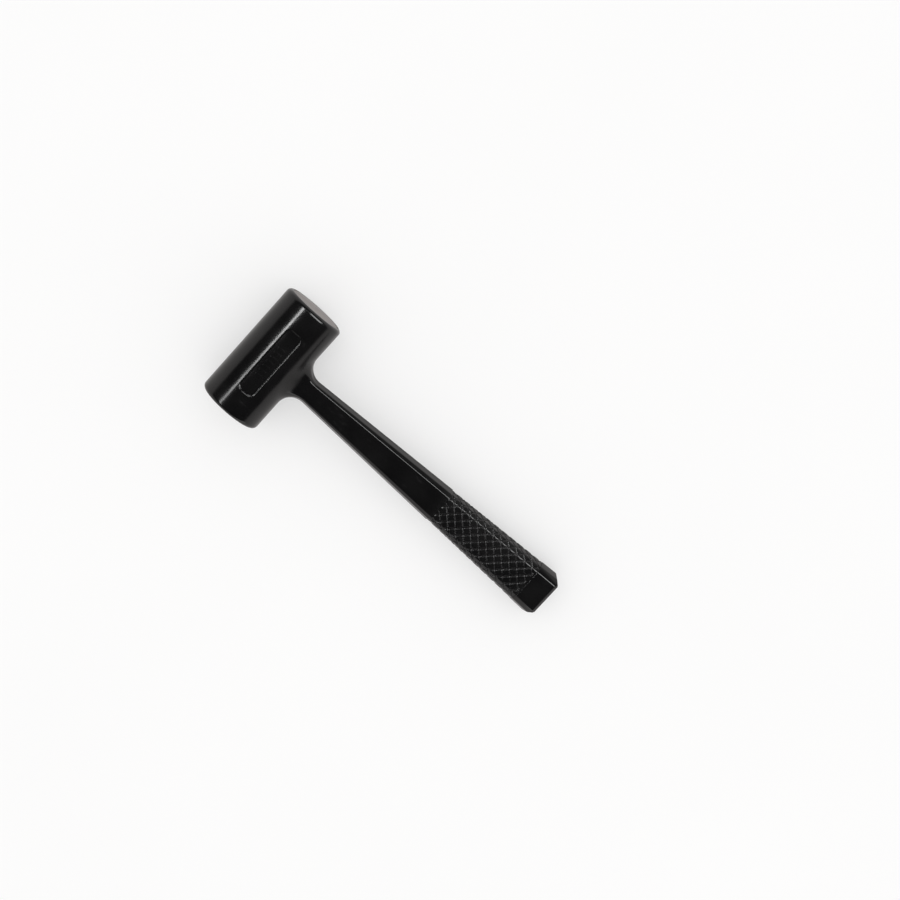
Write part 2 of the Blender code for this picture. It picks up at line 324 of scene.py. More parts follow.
def cut(obj, bm):
    """Takes the bmesh's shape out of the piece for good."""
    mesh = bpy.data.meshes.new("cutter")
    bmesh.ops.recalc_face_normals(bm, faces=bm.faces)
    bm.to_mesh(mesh)
    bm.free()
    mesh.transform(REST)
    cutter = bpy.data.objects.new("cutter", mesh)
    bpy.context.scene.collection.objects.link(cutter)
    modifier = obj.modifiers.new("cut", "BOOLEAN")
    modifier.operation = "DIFFERENCE"
    modifier.solver = "EXACT"
    modifier.object = cutter
    surface = obj.data.materials[0]
    graph = bpy.context.evaluated_depsgraph_get()
    result = bpy.data.meshes.new_from_object(obj.evaluated_get(graph))
    obj.modifiers.clear()
    obj.data = result
    bpy.data.objects.remove(cutter)
    finish_mesh(obj, surface, CREASE)


def bridge(bm, lower, upper):
    """Faces between two rings of as many points, or between a ring and a single point."""
    count = max(len(lower), len(upper))
    if min(len(lower), len(upper)) not in (1, count):
        raise ValueError(f"rings of {len(lower)} and {len(upper)} points don't match")
    for i in range(count):
        j = (i + 1) % count
        corners = [lower[i % len(lower)], lower[j % len(lower)]]
        corners += [upper[j % len(upper)], upper[i % len(upper)]]
        bm.faces.new(list(dict.fromkeys(corners)))


def add_ring(bm, places):
    return [bm.verts.new(place) for place in places]


def loft(sections, closed=False):
    """Rings of points bridged in order, with ends closed unless the last ring meets the first."""
    bm = bmesh.new()
    rings = [add_ring(bm, section) for section in sections]
    for lower, upper in zip(rings, rings[1:] + rings[:1] if closed else rings[1:]):
        bridge(bm, lower, upper)
    if not closed:
        bm.faces.new(rings[0])
        bm.faces.new(rings[-1])
    return bm


def turned(profile, along, segments=FACE_SEGMENTS, closed=False):
    """A bmesh turned round the Y or X axis from (distance along the axis, radius) points."""
    bm = bmesh.new()
    rings = []
    for distance, radius in profile:
        places = []
        for i in range(segments if radius > 0 else 1):
            angle = math.tau * i / segments
            across = (radius * math.cos(angle), radius * math.sin(angle))
            places.append((across[0], distance, across[1]) if along == "Y" else (distance, *across))
        rings.append(add_ring(bm, places))
    for lower, upper in zip(rings, rings[1:] + rings[:1] if closed else rings[1:]):
        bridge(bm, lower, upper)
    return bm


# ---------------------------------------------------------------- handle section


def along_handle(x, at_neck, at_butt):
    return at_neck + (at_butt - at_neck) * (x - NECK_TOP) / (BUTT_END - NECK_TOP)


def crossing(line_a, line_b):
    """Where two (nx, ny, distance) lines cross."""
    nx, ny, reach = line_a
    mx, my, span = line_b
    denominator = nx * my - ny * mx
    return (reach * my - ny * span) / denominator, (nx * span - reach * mx) / denominator


def quarter_corners(x, inset=0.0):
    """The (y, z) of the ridge, shoulder, flat's edge and flat's middle, with the faces moved in."""
    flat = along_handle(x, NECK_FLAT, BUTT_FLAT)
    shoulder = along_handle(x, NECK_SHOULDER, BUTT_SHOULDER)
    ridge = along_handle(x, NECK_RIDGE, BUTT_RIDGE)
    depth = along_handle(x, NECK_HALF_DEPTH, BUTT_HALF_DEPTH)
    shoulder_z = depth - BEVEL_SLOPE * (shoulder - flat)

    def face(start, end):
        across, up = end[1] - start[1], start[0] - end[0]
        length = math.hypot(across, up)
        return across / length, up / length, (across * start[0] + up * start[1]) / length - inset

    side = face((ridge, 0), (shoulder, shoulder_z))
    bevel = face((shoulder, shoulder_z), (flat, depth))
    front = (0, 1, depth - inset)
    edge = crossing(bevel, front)
    return crossing(side, (0, 1, 0)), crossing(side, bevel), edge, (0, edge[1])


def rounded_quarter(x, counts, inset=0.0, reach=EDGE_REACH, flash=0.0):
    """Points from the ridge to the flat's middle, with the shoulder and the flat's edge rounded over."""
    ridge, shoulder, edge, middle = quarter_corners(x, inset)
    side_count, bevel_count, flat_count, corner_count = counts
    found = [ridge]
    if flash:
        found = [(ridge[0] + flash, 0)]
        ridge = toward(ridge, shoulder, FLASH_HALF_WIDTH)
        found.append(ridge)
    side_end = toward(shoulder, ridge, reach)
    bevel_start = toward(shoulder, edge, reach)
    bevel_end = toward(edge, shoulder, reach)
    flat_start = toward(edge, middle, reach)
    found += straight(ridge, side_end, side_count)[1:]
    found += bend(side_end, shoulder, bevel_start, corner_count)
    found += straight(bevel_start, bevel_end, bevel_count)
    found += bend(bevel_end, edge, flat_start, corner_count)
    found += straight(flat_start, middle, flat_count)
    return found + [middle]


def all_round(x, quarter):
    """The whole ring at x from its quarter, starting at the +Y ridge and turning towards +Z."""
    places = []
    for turn in range(4):
        for y, z in quarter[:-1] if turn % 2 == 0 else quarter[:0:-1]:
            places.append((x, -y if turn in (1, 2) else y, -z if turn in (2, 3) else z))
    return places


# ---------------------------------------------------------------- casing


def rounded_box_distance(along, across, half_length, half_width, corner):
    """Distance outside a rectangle with round corners; it is negative inside."""
    a = abs(along) - half_length + corner
    b = abs(across) - half_width + corner
    return math.hypot(max(a, 0), max(b, 0)) + min(max(a, b), 0) - corner


def panel_lift(along, across):
    """Height of the label recess's floor, wall and ribs above the barrel."""
    outside = rounded_box_distance(along, across, PANEL_HALF_LENGTH, PANEL_HALF_WIDTH, PANEL_CORNER)
    lift = -PANEL_DEPTH * (1 - smoothstep(-PANEL_WALL, 0, outside))
    for i in range(RIB_COUNT):
        offset = along - RIB_PITCH * (i - (RIB_COUNT - 1) / 2)
        rib = rounded_box_distance(offset, across, RIB_HALF_WIDTH, RIB_HALF_LENGTH, RIB_HALF_WIDTH)
        lift += RIB_HEIGHT * (1 - smoothstep(-RIB_SLOPE, RIB_SLOPE, rib))
    return lift


def flash_lift(degrees):
    """Height of the parting line, which runs along both sides of the barrel."""
    across = HEAD_RADIUS * math.radians(min(abs(degrees), abs(degrees - 180)))
    return FLASH_HEIGHT * max(1 - across / (2 * FLASH_HALF_WIDTH), 0)


def on_barrel(along, degrees, radius):
    angle = math.radians(degrees)
    return radius * math.cos(angle), along, radius * math.sin(angle)


def barrel_surface(along, degrees):
    lift = flash_lift(degrees)
    for panel_centre in (90, 270):
        across = HEAD_RADIUS * math.radians(degrees - panel_centre)
        if abs(across) < PANEL_HALF_WIDTH and abs(along) < PANEL_HALF_LENGTH:
            lift = panel_lift(along, across)
    return on_barrel(along, degrees, HEAD_RADIUS + lift)


def barrel_grid():
    """Stations along and round the barrel: closer over the panels' walls and ribs and the parting line."""
    rounding = (PANEL_HALF_LENGTH - PANEL_FINE_END, PANEL_HALF_LENGTH + PANEL_FINE_MARGIN)
    ribs = RIB_PITCH * RIB_COUNT / 2
    spans = [rounding, (-rounding[1], -rounding[0]), (-ribs, ribs)]
    half = FLARE_PATCH_HALF_LENGTH
    patch = stops(-half, half, BARREL_STEP, PANEL_STEP_ALONG, spans)
    remainder = HEAD_END - HEAD_EDGE - half
    beyond = [half + remainder * i / BARREL_END_STEPS for i in range(1, BARREL_END_STEPS + 1)]
    along = [-y for y in beyond[::-1]] + patch + beyond

    half = FLARE_PATCH_HALF_ANGLE
    fine = PANEL_STEP_ACROSS / BARREL_DEGREE
    flash = 4 * FLASH_HALF_WIDTH / BARREL_DEGREE
    inner = (PANEL_HALF_WIDTH - PANEL_FINE_SIDE) / BARREL_DEGREE
    outer = (PANEL_HALF_WIDTH + PANEL_FINE_MARGIN) / BARREL_DEGREE
    front = stops(-half, half, FRONT_TURN_STEP, fine, [(-flash, flash)])
    spans = [(180 - flash, 180 + flash)]
    for centre in (90, 270):
        spans += [(centre - outer, centre - inner), (centre + inner, centre + outer)]
    back = stops(half, 360 - half, BACK_TURN_STEP, fine, spans)
    return along, front, back


def make_casing(surface):
    """Barrel, flared neck, shaft and tang in one skin, open at both ends of the barrel."""
    bm = bmesh.new()
    along, front, back = barrel_grid()
    angles = front + back[1:-1]
    rim = arc((HEAD_END - HEAD_EDGE, HEAD_RADIUS - HEAD_EDGE), HEAD_EDGE, 90, 0, RIM_STEPS)
    mouth = FACE_RADIUS + GAP
    seat = TUBE_END + GAP
    half = rim[1:] + [(HEAD_END, mouth), (seat, mouth), (seat, BORE_RADIUS)]
    rings = [add_ring(bm, [barrel_surface(y, a) for a in angles]) for y in along]
    for i, (y, radius) in enumerate(half + [(-y, radius) for y, radius in half[::-1]]):
        outside = i < len(rim) - 1 or i > 2 * len(half) - len(rim)
        places = [on_barrel(y, a, radius + (flash_lift(a) if outside else 0)) for a in angles]
        rings.append(add_ring(bm, places))

    low = along.index(-FLARE_PATCH_HALF_LENGTH)
    high = along.index(FLARE_PATCH_HALF_LENGTH)
    last = len(front) - 1
    for i, ring in enumerate(rings):
        following = rings[(i + 1) % len(rings)]
        for j in range(len(angles)):
            if low <= i < high and j < last:
                continue
            k = (j + 1) % len(angles)
            bm.faces.new((ring[j], ring[k], following[k], following[j]))

    middle = last // 2
    hole = [(high, j) for j in range(middle, last)]
    hole += [(i, last) for i in range(high, low, -1)]
    hole += [(low, j) for j in range(last, 0, -1)]
    hole += [(i, 0) for i in range(low, high)]
    hole += [(high, j) for j in range(middle)]
    flare = [rings[i][j] for i, j in hole]
    border = [(along[i], angles[j]) for i, j in hole]
    spare = [v for i in range(low, high + 1) for v in rings[i] if not v.link_faces]

    # The flat takes as many points as make the handle's ring match the hole's
    side, bevel, corner = CASING_COUNTS
    counts = (side, bevel, len(hole) // 4 - (1 + side + bevel + 2 * corner), corner)
    root = all_round(NECK_TOP, rounded_quarter(NECK_TOP, counts, flash=FLASH_HEIGHT))
    turns = foot_turns(counts)
    feet = [(FOOT_HALF_WIDTH * math.cos(t), FOOT_HALF_ARC * math.sin(t) / BARREL_DEGREE) for t in turns]
    ring = flare
    for step in range(1, SPREAD_RINGS + 1):
        places = []
        for start, end in zip(border, feet):
            y, degrees = mix(start, end, step / SPREAD_RINGS)
            fade = 1 - step / SPREAD_RINGS
            places.append(on_barrel(y, degrees, HEAD_RADIUS + flash_lift(degrees) * fade))
        following = add_ring(bm, places)
        bridge(bm, ring, following)
        ring = following
    for step in range(1, FLARE_RINGS + 1):
        share = 1 - step / FLARE_RINGS
        following = add_ring(bm, [flare_point(t, share, p) for t, p in zip(turns, root)])
        bridge(bm, ring, following)
        ring = following

    for step in range(1, SHAFT_RINGS + 1):
        x = NECK_TOP + (GRIP_START - NECK_TOP) * step / SHAFT_RINGS
        following = add_ring(bm, all_round(x, rounded_quarter(x, counts, flash=FLASH_HEIGHT)))
        bridge(bm, ring, following)
        ring = following
    flash_counts = (counts[0] + 1, *counts[1:])
    for x in (GRIP_START, TANG_END):
        quarter = rounded_quarter(x, flash_counts, GRIP_WALL + GAP)
        following = add_ring(bm, all_round(x, quarter))
        bridge(bm, ring, following)
        ring = following
    bridge(bm, ring, add_ring(bm, [(TANG_END, 0, 0)]))
    for vertex in spare:
        bm.verts.remove(vertex)

    casing = add_piece("urethane_casing", bm, "mallet_casing", "mallet", surface)
    pocket = [
        (0, 0),
        (0, SADDLE_FOOT_RADIUS + GAP),
        (TUBE_RADIUS, SADDLE_FOOT_RADIUS + GAP),
        (SADDLE_TOP + GAP, SADDLE_TOP_RADIUS + GAP),
        (SADDLE_TOP + GAP, ROD_RADIUS + GAP),
        (ROD_END + GAP, ROD_RADIUS + GAP),
        (ROD_END + GAP, 0),
    ]
    cut(casing, turned(pocket, "X", CORE_SEGMENTS))


def foot_turns(counts):
    """Where each point of the handle's ring lands on the neck's foot, as an angle from +Y towards +Z."""
    side_count, bevel_count, flat_count, corner_count = counts
    half = corner_count // 2
    runs = [
        (0, SHOULDER_TURN, 1 + side_count + half),
        (SHOULDER_TURN, EDGE_TURN, bevel_count + 2 * half),
        (EDGE_TURN, 90, flat_count + corner_count - half),
    ]
    quarter = []
    for low, high, count in runs:
        quarter += [low + (high - low) * i / count for i in range(count)]
    turns = quarter + [180 - t for t in [90] + quarter[:0:-1]]
    return [math.radians(t) for t in turns + [180 + t for t in turns]]


def flare_point(turn, share, top):
    """A point of the neck: it leaves the handle at share 0, along X, and meets the barrel at share 1."""
    along = FOOT_HALF_WIDTH * math.cos(turn)
    degrees = math.degrees(FOOT_HALF_ARC * math.sin(turn) / HEAD_RADIUS)
    foot = Vector(on_barrel(along, degrees, HEAD_RADIUS))
    out = Vector((math.cos(turn) / FOOT_HALF_WIDTH, math.sin(turn) / FOOT_HALF_ARC)).normalized()
    angle = math.radians(degrees)
    away = Vector((-math.sin(angle) * out[1], out[0], math.cos(angle) * out[1]))
    top = Vector(top)
    reach = (foot - Vector((0, top.y, top.z))).dot(Vector((0, away.y, away.z)))
    reach /= away.y**2 + away.z**2
    lean = math.degrees(math.asin(min(abs(math.sin(turn)), 1)))
    corner_x = HEAD_RADIUS + (CREASE_X - HEAD_RADIUS) * smoothstep(0, EDGE_TURN, lean)
    fullness = SIDE_FULLNESS + (FRONT_FULLNESS - SIDE_FULLNESS) * math.sin(turn) ** 2
    near_top = top + Vector((corner_x - top.x, 0, 0)) * fullness
    near_foot = foot - away * reach * fullness
    keep = 1 - share
    return (
        top * keep**3
        + near_top * (3 * keep**2 * share)
        + near_foot * (3 * keep * share**2)
        + foot * share**3
    )


# ---------------------------------------------------------------- faces, grip, butt


def make_strike_face(name, side, surface):
    """A disc cast in one end of the barrel, worn a little hollow in the middle. Side is 1 at +Y."""
    profile = [(HEAD_END - FACE_THICKNESS, 0), (HEAD_END - FACE_THICKNESS, FACE_RADIUS)]
    profile += arc((HEAD_END - FACE_EDGE, FACE_RADIUS - FACE_EDGE), FACE_EDGE, 90, 0, EDGE_STEPS)
    for i in range(1, FACE_RINGS + 1):
        share = 1 - i / FACE_RINGS
        profile.append((HEAD_END - FACE_WEAR * (1 - share**2), (FACE_RADIUS - FACE_EDGE) * share))
    bm = turned([(side * y, max(radius, 0)) for y, radius in profile], "Y")
    add_piece(f"soft_face_{name}", bm, f"strike_face_{name}", "mallet", surface)


def grip_quarter(x, counts):
    """The grip's quarter at x with the diamond grooves pressed into it."""
    quarter = rounded_quarter(x, counts, GRIP_INSET, GRIP_EDGE_REACH)
    spans = [0.0]
    for a, b in zip(quarter[::-1], quarter[-2::-1]):
        spans.append(spans[-1] + math.dist(a, b))
    spans.reverse()
    plain = smoothstep(0, GRIP_BORDER, min(x - GRIP_START, GRIP_END - x) - GRIP_BORDER / 2)
    found = []
    for i, (y, z) in enumerate(quarter):
        before = quarter[max(i - 1, 0)]
        after = quarter[min(i + 1, len(quarter) - 1)]
        length = math.dist(before, after)
        inward = ((before[1] - after[1]) / length, (after[0] - before[0]) / length)
        nearest = min(groove_distance(x + spans[i]), groove_distance(x - spans[i]))
        depth = GROOVE_DEPTH * plain * (1 - smoothstep(GROOVE_FLOOR, GROOVE_TOP, nearest))
        if i == 0:
            inward = (-1, 0)
        if i == len(quarter) - 1:
            inward = (0, -1)
        found.append((y + inward[0] * depth, z + inward[1] * depth))
    return found


def groove_distance(place):
    """Distance to the nearest groove's middle, across the groove, which runs at 45 degrees."""
    turns = (place - GRIP_START) / GROOVE_PERIOD
    return abs(turns - round(turns)) * GROOVE_PERIOD * math.sqrt(0.5)


def make_grip(surface):
    """A sleeve with diamonds outside and a smooth bore."""
    start, end = GRIP_START + GAP / 2, GRIP_END - GAP / 2
    steps = round((end - start) / GRIP_STEP)
    places = [start + (end - start) * i / steps for i in range(steps + 1)]
    sections = [all_round(x, grip_quarter(x, GRIP_COUNTS)) for x in places]
    for x in (end, start):
        sections.append(all_round(x, rounded_quarter(x, GRIP_COUNTS, GRIP_WALL)))
    bm = loft(sections, closed=True)
    add_piece("diamond_grip", bm, "grip_sleeve", "mallet", surface, GRIP_CREASE)


def make_butt(surface):
    """The plain end block: corners cut at 45 degrees in plan, rims at 45 degrees in side view."""
    sections = []
    for x in (GRIP_END + GAP / 2, BUTT_END + CUT_MARGIN):
        sections.append(all_round(x, list(quarter_corners(x))))
    bm = loft(sections)
    cuts = [((BUTT_END, 0, 0), (1, 0, 0))]
    for side in (1, -1):
        cuts.append(((BUTT_END, side * (BUTT_RIDGE - BUTT_CORNER), 0), (1, side, 0)))
        cuts.append(((BUTT_END, 0, side * (BUTT_HALF_DEPTH - BUTT_RIM)), (1, 0, side)))
    for place, outward in cuts:
        geometry = bm.verts[:] + bm.edges[:] + bm.faces[:]
        made = bmesh.ops.bisect_plane(
            bm, geom=geometry, plane_co=place, plane_no=outward, clear_outer=True
        )
        loop = [e for e in made["geom_cut"] if isinstance(e, bmesh.types.BMEdge)]
        bmesh.ops.contextual_create(bm, geom=loop)
    bmesh.ops.dissolve_limit(bm, angle_limit=math.radians(1), verts=bm.verts, edges=bm.edges)
    bmesh.ops.recalc_face_normals(bm, faces=bm.faces)
    sharp = [e for e in bm.edges if e.calc_face_angle(0) > math.radians(BUTT_BEVEL_ABOVE)]
    bmesh.ops.bevel(
        bm,
        geom=sharp,
        offset=BUTT_ROUNDING,
        segments=EDGE_STEPS,
        profile=0.5,
        affect="EDGES",
        clamp_overlap=True,
    )
    butt = add_piece("butt_block", bm, "butt_cap", "mallet", surface)
    socket = [GRIP_END - CUT_MARGIN, TANG_END + GAP]
    cut(butt, loft([all_round(x, rounded_quarter(x, SOCKET_COUNTS, GRIP_WALL)) for x in socket]))
    cut(butt, rod_hole(GRIP_END, ROD_END + GAP, ROD_SEGMENTS))


def rod_hole(start, end, segments):
    """A plug round the handle's middle, a gap wider than the rod."""
    radius = ROD_RADIUS + GAP
    return turned([(start, 0), (start, radius), (end, radius), (end, 0)], "X", segments)


# ---------------------------------------------------------------- steel inside


def make_canister(surface):
    """A tube with rounded lips, and a pressed cup in each end whose skirt points in."""
    wall = arc((TUBE_END - TUBE_LIP, TUBE_RADIUS - TUBE_LIP), TUBE_LIP, 90, 0, EDGE_STEPS)
    wall += [(TUBE_END, TUBE_RADIUS - TUBE_WALL)]
    wall += [(-y, radius) for y, radius in wall[::-1]]
    bm = turned(wall, "Y", closed=True)
    add_piece("steel_canister", bm, "canister_tube", "mallet", surface)
    for name, side in (("right", 1), ("left", -1)):
        lip_y = TUBE_END - CAP_DEPTH
        floor = TUBE_END - CAP_WALL
        skirt = CAP_RADIUS - CAP_WALL
        bend_centre = (floor - CAP_INNER_BEND, skirt - CAP_INNER_BEND)
        profile = [(floor, 0)]
        profile += arc(bend_centre, CAP_INNER_BEND, 0, 90, EDGE_STEPS)
        profile += [(lip_y, skirt), (lip_y, CAP_RADIUS)]
        profile += arc((TUBE_END - CAP_BEND, CAP_RADIUS - CAP_BEND), CAP_BEND, 90, 0, BEND_STEPS)
        profile += [(TUBE_END, 0)]
        bm = turned([(side * y, radius) for y, radius in profile], "Y")
        node = f"canister_cap_{name}"
        add_piece(f"pressed_cap_{name}", bm, node, "mallet", surface)


def make_handle_core(surface):
    """The saddle, welded to the canister by a bead round its foot, and the rod that it holds."""
    foot = [(ROD_RADIUS, 0), (ROD_RADIUS, SADDLE_FOOT_RADIUS), (TUBE_RADIUS, SADDLE_FOOT_RADIUS)]
    bead = [(TUBE_RADIUS + WELD_RISE, SADDLE_TOP_RADIUS + WELD_WIDTH)]
    top_centre = (SADDLE_TOP - SADDLE_EDGE, SADDLE_TOP_RADIUS - SADDLE_EDGE)
    top = arc(top_centre, SADDLE_EDGE, 90, 0, EDGE_STEPS)
    bm = turned(foot + bead + top + [(SADDLE_TOP, 0)], "X", CORE_SEGMENTS)
    saddle = add_piece("welded_saddle", bm, "rod_saddle", "mallet", surface)
    reach = SADDLE_FOOT_RADIUS + CUT_MARGIN
    bore = [(-reach, 0), (-reach, BORE_RADIUS), (reach, BORE_RADIUS), (reach, 0)]
    cut(saddle, turned(bore, "Y"))
    cut(saddle, rod_hole(ROD_START - GAP, SADDLE_TOP + CUT_MARGIN, CORE_SEGMENTS))

    rod = [(ROD_START, 0), (ROD_START, ROD_RADIUS)]
    for i in range(KEY_COUNT):
        x = KEY_START + i * KEY_PITCH
        rod += [(x, ROD_RADIUS), (x + KEY_SLOPE, ROD_RADIUS - KEY_DEPTH)]
        rod += [(x + KEY_WIDTH - KEY_SLOPE, ROD_RADIUS - KEY_DEPTH), (x + KEY_WIDTH, ROD_RADIUS)]
    rod += [(ROD_END - ROD_CHAMFER, ROD_RADIUS), (ROD_END, ROD_RADIUS - ROD_CHAMFER), (ROD_END, 0)]
    bm = turned(rod, "X", ROD_SEGMENTS)
    add_piece("handle_rod", bm, "core_rod", "mallet", surface)


def pellets(centres):
    """One mesh of as many small balls as there are centres."""
    template = bmesh.new()
    bmesh.ops.create_icosphere(template, subdivisions=2, radius=PELLET_RADIUS)
    ball = [v.co.copy() for v in template.verts]
    faces = [[v.index for v in f.verts] for f in template.faces]
    template.free()
    bm = bmesh.new()
    for centre in centres:
        made = [bm.verts.new(point + centre) for point in ball]
        for face in faces:
            bm.faces.new([made[i] for i in face])
    return bm


def make_shot(surface):
    """Loose pellets in the canister's lowest side: a bed on its wall, and a close-packed heap on the bed."""
    chance = random.Random(SHOT_SEED)
    down = Matrix.Rotation(-REST_TILT, 4, "Y")

    def settle(x, y, z):
        jitter = [chance.uniform(-PELLET_JITTER, PELLET_JITTER) for _ in range(3)]
        return down @ (Vector((x, y, z)) + Vector(jitter))

    layer = CAP_RADIUS - PELLET_RADIUS - 2 * PELLET_JITTER
    row_turn = math.degrees(PELLET_PITCH / layer)
    rows = int(BED_HALF_ANGLE / row_turn)
    bed = []
    for row in range(-rows, rows + 1):
        angle = math.radians(-90 + row * row_turn)
        y = -BED_HALF_LENGTH + (row % 2) * PELLET_PITCH / 2
        while y <= BED_HALF_LENGTH:
            bed.append(settle(layer * math.cos(angle), y, layer * math.sin(angle)))
            y += PELLET_PITCH
    add_piece("shot_pellets_bed", pellets(bed), "shot_bed", "rolling_shot", surface)

    # Close packing: how far apart layers and rows are, and how far every second layer is moved aside
    heap = []
    level = 0
    layer_rise = PELLET_PITCH * math.sqrt(2 / 3)
    row_pitch = PELLET_PITCH * math.sqrt(3 / 4)
    layer_shift = PELLET_PITCH * math.sqrt(1 / 12)
    z = -CHARGE_RADIUS
    while z < CHARGE_TOP:
        shift = PELLET_PITCH / 2 * (level % 2)
        row = 0
        x = -CHARGE_RADIUS + layer_shift * (level % 2)
        while x < CHARGE_RADIUS:
            y = -CHARGE_HALF_LENGTH + shift + PELLET_PITCH / 2 * (row % 2)
            while y < CHARGE_HALF_LENGTH:
                if math.hypot(x, z) < CHARGE_RADIUS - 2 * PELLET_JITTER:
                    heap.append(settle(x, y, z))
                y += PELLET_PITCH
            x += row_pitch
            row += 1
        z += layer_rise
        level += 1
    add_piece("shot_pellets_charge", pellets(heap), "shot_charge", "sliding_shot", surface)


# ---------------------------------------------------------------- materials


class Surface:
    """A Principled material whose colour, roughness and bump come from nodes in the piece's own space."""

    def __init__(self, name, **sockets):
        self.material = bpy.data.materials.new(name)
        self.material.use_nodes = True
        self.nodes = self.material.node_tree.nodes
        self.links = self.material.node_tree.links
        self.shader = self.nodes["Principled BSDF"]
        for socket, value in sockets.items():
            self.shader.inputs[socket.replace("_", " ")].default_value = value
        self.place = self.nodes.new("ShaderNodeTexCoord").outputs["Object"]

    def put(self, value, socket):
        if hasattr(value, "is_linked"):
            self.links.new(value, socket)
        else:
            socket.default_value = value

    def mapped(self, place, socket, value):
        node = self.nodes.new("ShaderNodeMapping")
        node.inputs[socket].default_value = value
        self.put(place, node.inputs["Vector"])
        return node.outputs["Vector"]

    def stretched(self, x, y, z, turn=0):
        """The piece's own coordinates, turned round Y by this many degrees and scaled along each axis."""
        place = self.place
        if turn:
            place = self.mapped(place, "Rotation", (0, math.radians(turn), 0))
        return self.mapped(place, "Scale", (x, y, z))

    def noise(self, size, detail=3, rough=0.5, place=None):
        """Noise whose features are about this big in metres, or in the stretched space's own units."""
        node = self.nodes.new("ShaderNodeTexNoise")
        node.inputs["Scale"].default_value = 1 / size
        node.inputs["Detail"].default_value = detail
        node.inputs["Roughness"].default_value = rough
        self.put(place or self.place, node.inputs["Vector"])
        return node.outputs["Fac"]

    def ramp(self, value, low, high, to_low=0, to_high=1):
        """The value mapped from low..high to to_low..to_high, and held there beyond them."""
        node = self.nodes.new("ShaderNodeMapRange")
        for socket, number in zip(node.inputs[1:5], (low, high, to_low, to_high)):
            socket.default_value = number
        self.put(value, node.inputs["Value"])
        return node.outputs["Result"]

    def combine(self, operation, a, b):
        node = self.nodes.new("ShaderNodeMath")
        node.operation = operation
        self.put(a, node.inputs[0])
        self.put(b, node.inputs[1])
        return node.outputs[0]

    def times(self, value, factor):
        return self.combine("MULTIPLY", value, factor)

    def blend(self, share, first, second):
        """The first colour where the share is 0, the second where it is 1."""
        node = self.nodes.new("ShaderNodeMix")
        node.data_type = "RGBA"
        self.put(share, node.inputs["Factor"])
        for value, socket in ((first, node.inputs[6]), (second, node.inputs[7])):
            self.put(value if hasattr(value, "is_linked") else (*value, 1), socket)
        return node.outputs[2]

    def edges(self, low, high):
        """0 on flats, 1 on edges that stand proud."""
        node = self.nodes.new("ShaderNodeNewGeometry")
        return self.ramp(node.outputs["Pointiness"], low, high)

    def bump(self, height, distance, strength=1):
        """Adds a bump on top of those already there."""
        node = self.nodes.new("ShaderNodeBump")
        node.inputs["Strength"].default_value = strength
        node.inputs["Distance"].default_value = distance
        self.put(height, node.inputs["Height"])
        normal = self.shader.inputs["Normal"]
        if normal.is_linked:
            self.put(normal.links[0].from_socket, node.inputs["Normal"])
        self.put(node.outputs["Normal"], normal)


def urethane(name, rough_low, rough_high, wear):
    """Cast black urethane: glossy, a little wavy and cloudy, with rubbed edges and streaky scuffs."""
    s = Surface(name, IOR=1.5)
    cloud = s.noise(22 * MM, detail=4)
    fine = s.noise(1.8 * MM)
    streaks = s.noise(4 * MM, detail=6, rough=0.7, place=s.stretched(0.35, 1, 1))
    scuffs = s.ramp(streaks, 0.6, 0.72)
    rubbed = s.combine("MULTIPLY", s.edges(0.53, 0.62), s.ramp(fine, 0.35, 0.6))
    worn = s.combine("MAXIMUM", s.times(scuffs, 0.25), s.times(rubbed, wear))
    tone = s.blend(s.ramp(cloud, 0.3, 0.7), BLACK, SOFT_BLACK)
    s.put(s.blend(worn, tone, WORN_BLACK), s.shader.inputs["Base Color"])
    rough = s.ramp(cloud, 0.3, 0.7, rough_low, rough_high)
    s.put(s.combine("ADD", rough, s.times(worn, 0.25)), s.shader.inputs["Roughness"])
    s.bump(s.noise(12 * MM, detail=2), 0.12 * MM)
    s.bump(fine, 0.012 * MM)
    return s.material


def scored_face(name):
    """Matte, scored urethane: fine scratches that cross, pits and a warm grey bloom."""
    s = Surface(name, IOR=1.4)
    first = s.noise(0.6 * MM, rough=0.6, place=s.stretched(1, 1, 0.07, turn=24))
    second = s.noise(0.6 * MM, rough=0.6, place=s.stretched(1, 1, 0.07, turn=-38))
    score = s.combine("MAXIMUM", s.ramp(first, 0.59, 0.68), s.ramp(second, 0.6, 0.69))
    pits = s.ramp(s.noise(1.3 * MM, detail=5, rough=0.7), 0.62, 0.7)
    bloom = s.ramp(s.noise(11 * MM, detail=5, rough=0.6), 0.3, 0.7)
    tone = s.blend(bloom, FACE_DARK, FACE_LIGHT)
    tone = s.blend(s.times(score, 0.4), tone, SCORE_TONE)
    tone = s.blend(s.times(pits, 0.6), tone, PIT_TONE)
    s.put(tone, s.shader.inputs["Base Color"])
    s.put(s.ramp(bloom, 0, 1, 0.55, 0.7), s.shader.inputs["Roughness"])
    s.bump(score, 0.04 * MM)
    s.bump(pits, 0.08 * MM, strength=0.8)
    return s.material


def steel(name, dark, light, size, stretch):
    """Plain steel: lines drawn out along the axis with the smallest scale, and a film of oil stains."""
    s = Surface(name, Metallic=1)
    lines = s.noise(size, detail=4, rough=0.6, place=s.stretched(*stretch))
    stains = s.ramp(s.noise(9 * MM, detail=4, rough=0.6), 0.4, 0.65)
    tone = s.blend(s.ramp(lines, 0.3, 0.7), dark, light)
    s.put(s.blend(s.times(stains, 0.4), tone, OIL_TONE), s.shader.inputs["Base Color"])
    rough = s.ramp(lines, 0.3, 0.7, 0.25, 0.4)
    s.put(s.combine("ADD", rough, s.times(stains, 0.15)), s.shader.inputs["Roughness"])
    s.bump(lines, 0.02 * MM)
    return s.material


# ---------------------------------------------------------------- stage, lights, camera


